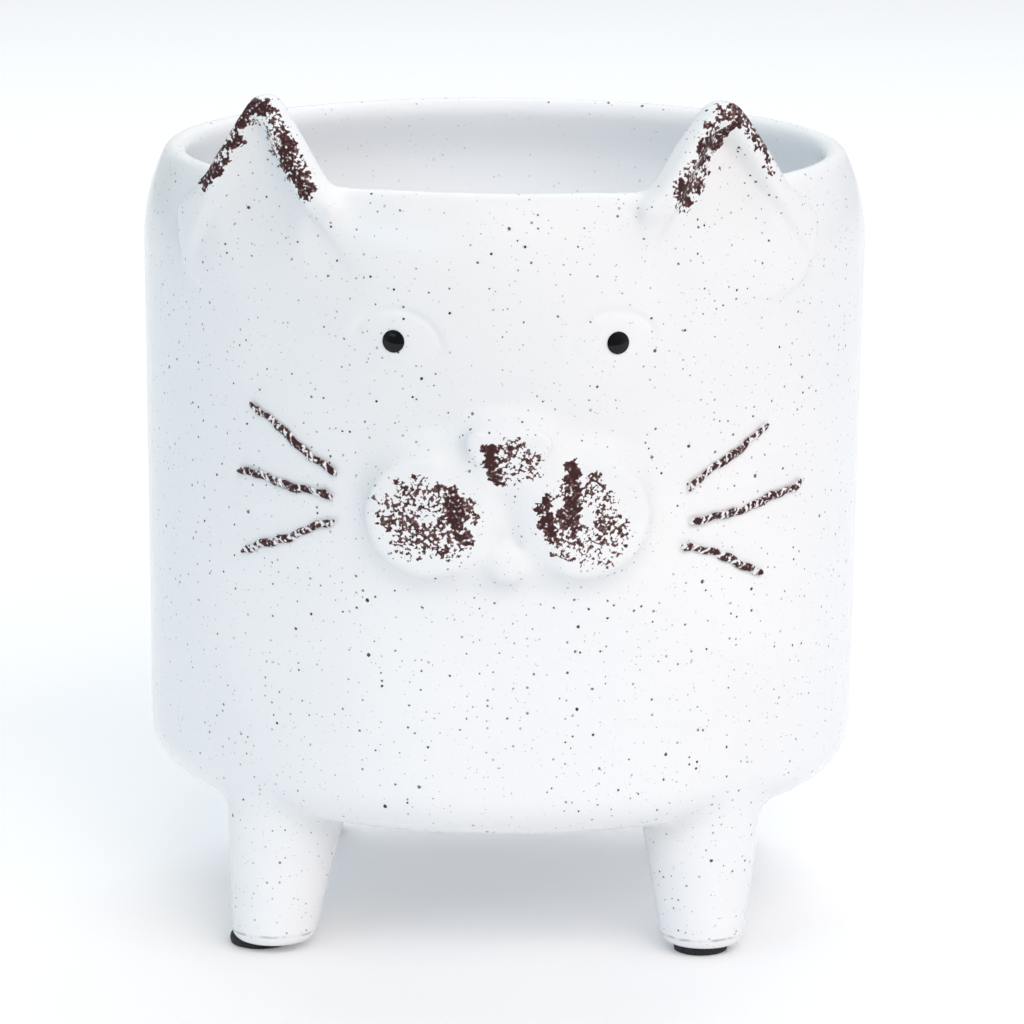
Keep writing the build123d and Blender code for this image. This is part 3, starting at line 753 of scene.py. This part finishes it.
def leg_material():
    """The same glaze with a thin grey line over the wiped edge of the sole."""
    n = Nodes("leg_glaze")
    split = n.add("ShaderNodeSeparateXYZ")
    n.link(n.place, split.inputs[0])
    low = (FOOT_LINE - FOOT_LINE_WANDER / 2) * MM
    wander = n.math("MULTIPLY_ADD", n.noise(*FOOT_LINE_DRIFT), FOOT_LINE_WANDER * MM, low)
    off = n.math("ABSOLUTE", n.math("SUBTRACT", split.outputs["Z"], wander))
    none, full = (edge * MM for edge in FOOT_LINE_EDGE)
    broken = n.ramp(n.noise(FOOT_LINE_GAPS), *FOOT_LINE_SHOWN)
    line = n.math("MULTIPLY", n.ramp(off, full, none, 1.0, 0.0), broken)
    n.set(Base_Color=n.mix(line, speckled_colour(n), FOOT_LINE_GREY))
    gloss(n, n.math("MULTIPLY_ADD", line, -0.5, n.noise(*GLAZE_RIPPLE)))
    return n.material


def oxide_cover(n):
    """Where brown oxide covers the glaze, how far it does, and its colour, thin or thick."""
    density = n.add("ShaderNodeAttribute", attribute_name="oxide").outputs["Fac"]
    density = n.math("MULTIPLY", density, n.ramp(n.noise(*OXIDE_CLOUD), *NOISE_BAND, *OXIDE_CLOUDING))
    cells = n.texture("ShaderNodeTexVoronoi", n.place, Scale=OXIDE_CELL_SCALE)
    net = n.math("MULTIPLY", n.noise(*OXIDE_NET), 0.75)
    field = n.math("MULTIPLY_ADD", cells.outputs["Distance"], 0.3, net)
    over = n.math("SUBTRACT", field, n.math("MULTIPLY_ADD", density, -0.5, OXIDE_LEVEL))
    edge = n.ramp(density, 0.6, 1.0, 0.04, 0.22)
    cover = n.math("MULTIPLY", n.ramp(over, -0.005, edge), n.ramp(density, 0.06, 0.2))
    droplets, _ = n.specks(*OXIDE_DROPLETS)
    cover = n.math("MULTIPLY_ADD", n.math("MULTIPLY", cover, droplets), -0.9, cover)
    wash = n.noise(*OXIDE_WASH)
    depth = n.ramp(n.math("MULTIPLY_ADD", wash, 0.7, over), *OXIDE_DEPTH)
    return cover, n.mix(depth, OXIDE_THIN, OXIDE_DARK), n.ramp(wash, *NOISE_BAND, *OXIDE_ROUGHNESS)


def glaze_material(name, with_oxide):
    """Glossy glaze with iron specks, broken through to brown oxide where the piece has any."""
    n = Nodes(name)
    colour = speckled_colour(n)
    relief = n.noise(*GLAZE_RIPPLE)
    if with_oxide:
        cover, brown, roughness = oxide_cover(n)
        gloss(n, n.math("MULTIPLY_ADD", cover, -0.3, relief))
        colour = n.mix(cover, colour, brown)
        matt = n.add("ShaderNodeBsdfPrincipled")
        n.link(brown, matt.inputs["Base Color"])
        n.link(roughness, matt.inputs["Roughness"])
        matt.inputs["IOR"].default_value = OXIDE_IOR
        n.link(n.shader.inputs["Normal"].links[0].from_socket, matt.inputs["Normal"])
        both = n.add("ShaderNodeMixShader")
        n.feed(both.inputs, cover, n.shader.outputs[0], matt.outputs[0])
        n.link(both.outputs[0], n.output.inputs["Surface"])
    else:
        gloss(n, relief)
    n.set(Base_Color=colour)
    return n.material


def pupil_material():
    """Thick black glaze."""
    n = Nodes("black_glaze")
    tone = n.noise(*PUPIL_CLOUD)
    n.set(Base_Color=n.mix(tone, PUPIL_BLACK, PUPIL_GREY), IOR=PUPIL_IOR)
    n.set(Roughness=n.ramp(tone, *NOISE_BAND, *PUPIL_ROUGHNESS))
    n.bump(n.noise(PUPIL_RIPPLE), *PUPIL_RELIEF)
    return n.material


def pad_material():
    """Matt black foam rubber, dusty in patches."""
    n = Nodes("foam_pad")
    grain = n.noise(*FOAM_GRAIN)
    dust = n.ramp(n.noise(*DUST_CLOUD), *DUST_BAND)
    n.set(Base_Color=n.mix(dust, FOAM_BLACK, FOAM_DUST))
    n.set(Roughness=n.ramp(grain, *NOISE_BAND, *FOAM_ROUGHNESS))
    n.bump(grain, *FOAM_RELIEF)
    return n.material


def floor_material():
    """Plain pale table top with a painted glow, faint near the pot and stronger far behind it."""
    n = Nodes("table_top")
    tone = n.noise(*TABLE_CLOUD)
    n.set(Base_Color=n.mix(tone, TABLE_DULL, TABLE_WHITE), Roughness=TABLE_ROUGHNESS)
    split = n.add("ShaderNodeSeparateXYZ")
    n.link(n.place, split.inputs[0])
    glow = n.ramp(split.outputs["Y"], *GLOW_SPAN, FLOOR_GLOW, FAR_GLOW)
    n.set(Emission_Color=GLOW_COLOUR, Emission_Strength=glow)
    n.bump(n.noise(*TABLE_GRAIN), *TABLE_RELIEF)
    return n.material


# ---- skin


def finish_piece(piece, material, slot, *nodes):
    """Gives a piece its material and body, and hides the CAD nodes that it stands for; the slot is not
    used.
    """
    piece.data.materials.append(material)
    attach(piece, "root")
    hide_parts(*nodes)


def refine_sponged(bm, piece_layer):
    """Splits the skin's faces once more where brown oxide lies, so that it gets sharp edges."""
    numbers = {GLAZED.index(name) for name in STROKES}
    chosen = set()
    for face in bm.faces:
        if face[piece_layer] in numbers and face.normal @ SPONGED_FROM > 0:
            chosen.update(face.edges)
    bmesh.ops.subdivide_edges(bm, edges=list(chosen), cuts=1, use_grid_fill=True, smooth=0.0)


def skin_mesh():
    """The glazed skin of all luted pieces as one mesh, with each face's number in GLAZED."""
    mesh = remeshed(joined_copy(GLAZED), SKIN_VOXEL)
    points = mesh_points(mesh)
    edges = edge_array(mesh)
    labels = piece_labels(points)
    points = even_out(points, edges, RAW_ROUNDS)
    points = soften_joints(mesh, points, edges, labels)
    points = raise_chin(points)
    points = hollow_mouth(shape_ears(mesh, points, edges, labels))
    points = even_out(points, edges, FINISH_ROUNDS)
    set_points(mesh, points)
    bm = bmesh.new()
    bm.from_mesh(mesh)
    layer = bm.faces.layers.int.new("piece")
    for face in bm.faces:
        face[layer] = int(np.bincount([labels[v.index] for v in face.verts]).argmax())
    carve_eyes(bm, layer)
    refine_sponged(bm, layer)
    bm.to_mesh(mesh)
    bm.free()
    return mesh


def store(mesh, name, values):
    """Gives a mesh a number at each vertex, which its material reads."""
    attribute = mesh.attributes.new(name, "FLOAT", "POINT")
    attribute.data.foreach_set("value", values.astype(np.float32))


def part_skin(mesh):
    """Parts the skin into one object per CAD node, with the whole skin's normals, so no seam shows."""
    piece_of = read_all(mesh.attributes["piece"].data, "value")
    starts = read_all(mesh.polygons, "loop_start")
    totals = read_all(mesh.polygons, "loop_total")
    corner_vertex = read_all(mesh.loops, "vertex_index")
    points = mesh_points(mesh)
    normals = even_out(point_normals(mesh, points), edge_array(mesh), NORMAL_ROUNDS)
    normals /= np.linalg.norm(normals, axis=1)[:, None]
    made = {}
    for number, name in enumerate(GLAZED):
        chosen = np.flatnonzero(piece_of == number)
        corners = np.concatenate([np.arange(starts[f], starts[f] + totals[f]) for f in chosen])
        used, renumbered = np.unique(corner_vertex[corners], return_inverse=True)
        first_corners = np.concatenate([[0], np.cumsum(totals[chosen])[:-1]])
        part = bpy.data.meshes.new(name + "_glaze")
        part.vertices.add(len(used))
        part.loops.add(len(corners))
        part.polygons.add(len(chosen))
        part.vertices.foreach_set("co", (points[used] * MM).astype(np.float32).ravel())
        part.loops.foreach_set("vertex_index", renumbered.astype(np.int32))
        part.polygons.foreach_set("loop_start", first_corners.astype(np.int32))
        part.polygons.foreach_set("use_smooth", np.ones(len(chosen), bool))
        part.update(calc_edges=True)
        if name == "pot":
            store(part, "inside", inside_share(points[used]))
        if name in STROKES:
            store(part, "oxide", oxide_density(name, points[used], normals[used]))
        part.normals_split_custom_set(normals[corner_vertex[corners]].tolist())
        made[name] = placed(name + "_glaze", part)
    return made


skin = skin_mesh()
plain_glaze = glaze_material("speckled_glaze", False)
broken_glaze = glaze_material("oxide_glaze", True)
leg_glaze = leg_material()
for name, piece in part_skin(skin).items():
    slot = "oxide_relief" if name in CHEEKS + ["nose"] else "speckled_glaze"
    plain = leg_glaze if name.startswith("leg") else plain_glaze
    finish_piece(piece, broken_glaze if name in STROKES else plain, slot, name)


# ---- whiskers

WHISKER_VOXEL, WHISKER_ROUNDS = 0.13, 4
WHISKER_SEED = 40
# The rope's turns: their lengths, and slant, width and depth of the notches between them
TURN_LENGTHS, TURN_SPREAD, FIRST_TURN = [0.9, 1.3, 1.8, 2.6], (0.85, 1.15), (0.5, 1.2)
SLANT, SLANT_SPREAD, NOTCH_WIDTHS, NOTCH_SHARES = 0.9, (0.5, 1.3), (0.16, 0.3), (0.6, 1.0)
NOTCH_DEPTH, NOTCH_WAVE, NOTCH_WAVE_PACE, TURN_SWELL = 0.3, 0.12, 5, 0.12
# The roll: longer, nearer the muzzle and slimmer than in the CAD part, swaying, with raised blunt ends
LONGER, INWARDS, SLIMMER = 0.1, 0.4, 0.04
SWAYS = ((0.22, 0.55), (0.12, 1.7))
BLUNTER, BLUNT_ENDS = 0.9, (0.6, 0.95)
LIFT, END_LIFT = 0.04, 0.4
# Brown where it stands proud, paler on some turns, bare in the notches and at the very ends
PROUD, PROUD_WIDTH, TONES, BARE_NOTCH = 0.02, 0.22, (0.64, 1.0), 0.75
COLOUR_END, COLOUR_END_WIDTH = 1.02, 0.05


def rope_turns(along, across, rng, slant):
    """How deep each point lies in the notches between the rope's turns, and its turn's number."""
    notch = np.zeros(len(along))
    turn = np.zeros(len(along), int)
    place = along.min() + rng.uniform(*FIRST_TURN)
    while place < along.max():
        lean = slant * rng.uniform(*SLANT_SPREAD)
        width = rng.uniform(*NOTCH_WIDTHS)
        wave = NOTCH_WAVE * np.sin(NOTCH_WAVE_PACE * across + place)
        far = np.abs(along + lean * across + wave - place)
        notch = np.maximum(notch, rng.uniform(*NOTCH_SHARES) * smooth_step(1.5 - far / width))
        turn += (along + lean * across > place).astype(int)
        place += rng.choice(TURN_LENGTHS) * rng.uniform(*TURN_SPREAD)
    return notch, turn


def drop_crumbs(mesh):
    """Leaves only the largest shell of a mesh, as the remesh breaks crumbs off a roll's thin ends."""
    edges = edge_array(mesh)
    shell = np.arange(len(mesh.vertices))
    while (shell[edges[:, 0]] != shell[edges[:, 1]]).any():
        np.minimum.at(shell, edges, shell[edges].min(1)[:, None])
    largest = np.bincount(shell).argmax()
    bm = bmesh.new()
    bm.from_mesh(mesh)
    crumbs = [vertex for vertex in bm.verts if shell[vertex.index] != largest]
    bmesh.ops.delete(bm, geom=crumbs, context="VERTS")
    bm.to_mesh(mesh)
    bm.free()


def whisker_piece(name, number):
    """Rope-like roll with slanted notches, brown where it stands proud."""
    mesh = remeshed(joined_copy([name]), WHISKER_VOXEL)
    points = mesh_points(mesh)
    edges = edge_array(mesh)
    points = even_out(points, edges, WHISKER_ROUNDS)
    middle = points.mean(0)
    along_axis = np.linalg.svd(points - middle, full_matrices=False)[2][0]
    along_axis = along_axis * math.copysign(1, along_axis[0])
    out_axis = np.array([middle[0], middle[1], 0]) / math.hypot(middle[0], middle[1])
    cross_axis = np.cross(out_axis, along_axis)
    cross_axis /= np.linalg.norm(cross_axis)
    along = (points - middle) @ along_axis
    across = (points - middle) @ cross_axis
    half = np.abs(along).max()
    share = along / half
    height = radius_of(points) - wall_radius(points[:, 2])
    rng = np.random.default_rng(WHISKER_SEED + number)
    inwards = 1 if "left" in name else -1
    notch, turn = rope_turns(along, across, rng, SLANT * inwards)
    swell = rng.uniform(-TURN_SWELL, TURN_SWELL, turn.max() + 1)[turn] * (1 - notch)
    sway = sum(size * np.sin(along * pace + rng.uniform(0, 6)) for size, pace in SWAYS)
    points += np.outer(along * LONGER + INWARDS * inwards, along_axis)
    blunt = BLUNTER * ease(np.abs(share), *BLUNT_ENDS)
    points += np.outer(across * (swell - SLIMMER + blunt) + sway, cross_axis)
    lift = LIFT + END_LIFT * share**2 + swell * 0.5 - NOTCH_DEPTH * notch * ease(height, 0, NOTCH_DEPTH)
    points = push_out(points, lift)
    set_points(mesh, points)
    height = radius_of(points) - wall_radius(points[:, 2])
    top = smooth_step((height - PROUD + NOTCH_DEPTH * notch) / PROUD_WIDTH)
    tone = rng.uniform(*TONES, turn.max() + 1)[turn]
    end = smooth_step((COLOUR_END - np.abs(share)) / COLOUR_END_WIDTH)
    store(mesh, "oxide", top * (tone - BARE_NOTCH * notch) * end)
    drop_crumbs(mesh)
    mesh.polygons.foreach_set("use_smooth", np.ones(len(mesh.polygons), bool))
    return placed(name + "_glaze", mesh)


for number, name in enumerate(WHISKERS):
    finish_piece(whisker_piece(name, number), broken_glaze, "oxide_relief", name)


# ---- pupils and pads

# Each foam pad in the photograph: how far its middle lies from the CAD pad's, and its width
PAD_SHAPES = {
    "front_left": (-2.0, -0.3, 9.8),
    "front_right": (0.0, 0.2, 8.8),
    "rear_right": (0.5, 0.8, 9.0),
    "rear_left": (-0.4, 0.9, 9.2),
}
# Section of a squashed pad: share of its half width and share of its height
PAD_SECTION = [(0.5, 0), (0.93, 0), (0.985, 0.06), (1.0, 0.25), (1.01, 0.5)]
PAD_SECTION += [(1.0, 0.75), (0.975, 0.95), (0.93, 1), (0.5, 1)]
PAD_SIDES = 96
# Unevenness of its rim: size as a share of the radius, waves round it, and turn from pad to pad
PAD_WAVES = ((0.012, 3, 1), (0.006, 7, 2))


def pad_piece(leg, number):
    """Round foam pad, squashed by the pot's weight and cut a little uneven."""
    low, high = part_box(f"pad_{leg}")
    move_x, move_y, width = PAD_SHAPES[leg]
    x, y = (low[0] + high[0]) / 2 + move_x * MM, (low[1] + high[1]) / 2 + move_y * MM
    middle, thickness = Vector((x, y, low[2])), high[2] - low[2]
    bm = bmesh.new()
    rings = []
    for share, level in PAD_SECTION:
        ring = []
        for k in range(PAD_SIDES):
            angle = math.radians(k * 360 / PAD_SIDES)
            waves = (size * math.sin(times * angle + turn * number) for size, times, turn in PAD_WAVES)
            reach = width / 2 * MM * share * sum(waves, 1)
            rim = Vector((reach * math.cos(angle), reach * math.sin(angle), level * thickness))
            ring.append(bm.verts.new(middle + rim))
        rings.append(ring)
    for lower, upper in zip(rings, rings[1:]):
        for k in range(PAD_SIDES):
            bm.faces.new((lower[k - 1], lower[k], upper[k], upper[k - 1]))
    for ring, level in ((rings[0], 0), (rings[-1], 1)):
        hub = bm.verts.new(middle + Vector((0, 0, level * thickness)))
        for k in range(PAD_SIDES):
            bm.faces.new((ring[k], ring[k - 1], hub) if level == 0 else (ring[k - 1], ring[k], hub))
    for face in bm.faces:
        face.smooth = True
    mesh = bpy.data.meshes.new(f"pad_{leg}_foam")
    bm.to_mesh(mesh)
    bm.free()
    return placed(f"pad_{leg}_foam", mesh)


# The CAD pupils keep their shape and get a finished material
black_glaze = pupil_material()
foam = pad_material()
for side in SIDES:
    for material_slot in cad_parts[f"pupil_{side}"].material_slots:
        material_slot.material = black_glaze
for number, leg in enumerate(LEGS):
    finish_piece(pad_piece(leg, number), foam, "foam_pad", f"pad_{leg}")


# ---- stage, light and camera

# Studio light from all round: axis of the direction, where it sets in, where it is full, and colour.
# In turn: from everywhere, from all but the front, from the right, from above and from straight behind.
WORLD_TERMS = [
    ("Z", -3, -2, (0.16, 0.13, 0.08)),
    ("Y", -0.85, -0.3, (0.27, 0.34, 0.385)),
    ("X", -0.2, 0.9, (0.09, 0.12, 0.2)),
    ("Z", 0.2, 1.0, (0.1, 0.085, 0.09)),
    ("Y", 0.8, 1.0, (0.3, 0.27, 0.25)),
]
# Name, place, size, power in watts as red, green and blue, and whether glaze mirrors it
LAMPS = [
    ("key", (0.9, -0.9, 1.1), (0.9, 0.9), (5.7, 5.3, 5.0), False),
    ("front_high", (0.2, -1.4, 1.1), (0.8, 0.8), (12.1, 10.4, 9.35), False),
    ("behind", (0.0, 0.9, 1.2), (1.2, 0.8), (7.6, 7.8, 8.0), False),
    ("front_left", (-0.8, -1.1, 0.8), (0.8, 0.8), (1.0, 1.9, 2.7), False),
    ("window", (-0.8, -1.1, 0.62), (0.8, 0.3), (0.45, 0.95, 1.3), True),
]
LAMPS_AIM = Vector((0, 0, 0.08))
TABLE_REACH, TABLE_FRONT = 4, -0.32
NEAREST_SEEN = 0.01


def make_floor():
    """Pale table that ends a little way in front of the pot and runs far out behind it."""
    far, near = TABLE_REACH, TABLE_FRONT
    corners = [(-far, near, 0), (far, near, 0), (far, far, 0), (-far, far, 0)]
    mesh = bpy.data.meshes.new("floor")
    mesh.from_pydata(corners, [], [(0, 1, 2, 3)])
    mesh.materials.append(floor_material())
    floor = placed("floor", mesh)


def make_world(terms):
    """Light from all round, as the sum of the terms."""
    world = bpy.data.worlds.new("studio")
    bpy.context.scene.world = world
    world.use_nodes = True
    tree = world.node_tree
    towards = tree.nodes.new("ShaderNodeSeparateXYZ")
    tree.links.new(tree.nodes.new("ShaderNodeTexCoord").outputs["Generated"], towards.inputs[0])
    total = None
    for axis, low, high, colour in terms:
        share = tree.nodes.new("ShaderNodeMapRange")
        share.interpolation_type = "SMOOTHSTEP"
        share.clamp = True
        tree.links.new(towards.outputs[axis], share.inputs[0])
        share.inputs["From Min"].default_value, share.inputs["From Max"].default_value = low, high
        term = tree.nodes.new("ShaderNodeVectorMath")
        term.operation = "MULTIPLY_ADD"
        tree.links.new(share.outputs[0], term.inputs[0])
        term.inputs[1].default_value = colour
        if total:
            tree.links.new(total, term.inputs[2])
        total = term.outputs[0]
    tree.links.new(total, tree.nodes["Background"].inputs["Color"])


def make_lamp(name, place, size, power, mirrored):
    """Flat lamp that looks at the pot."""
    data = bpy.data.lights.new(name, "AREA")
    data.shape = "RECTANGLE"
    data.size, data.size_y = size
    data.energy = max(power)
    data.color = [share / max(power) for share in power]
    lamp = placed(name, data)
    facing = (LAMPS_AIM - Vector(place)).to_track_quat("-Z", "Y").to_matrix().to_4x4()
    lamp.matrix_world = Matrix.Translation(place) @ facing
    lamp.visible_glossy = mirrored


def make_camera():
    """Camera at the photograph's viewing angle: a long lens a little above the pot."""
    data = bpy.data.cameras.new("camera")
    data.sensor_width = FILM
    data.lens = LENS
    data.clip_start = NEAREST_SEEN
    camera = placed("camera", data)
    camera.matrix_world = Matrix.Translation(VIEWPOINT * MM) @ view_turn()
    bpy.context.scene.camera = camera


make_floor()
make_world(WORLD_TERMS)
for lamp in LAMPS:
    make_lamp(*lamp)
make_camera()
bpy.context.scene.view_settings.view_transform = "Standard"
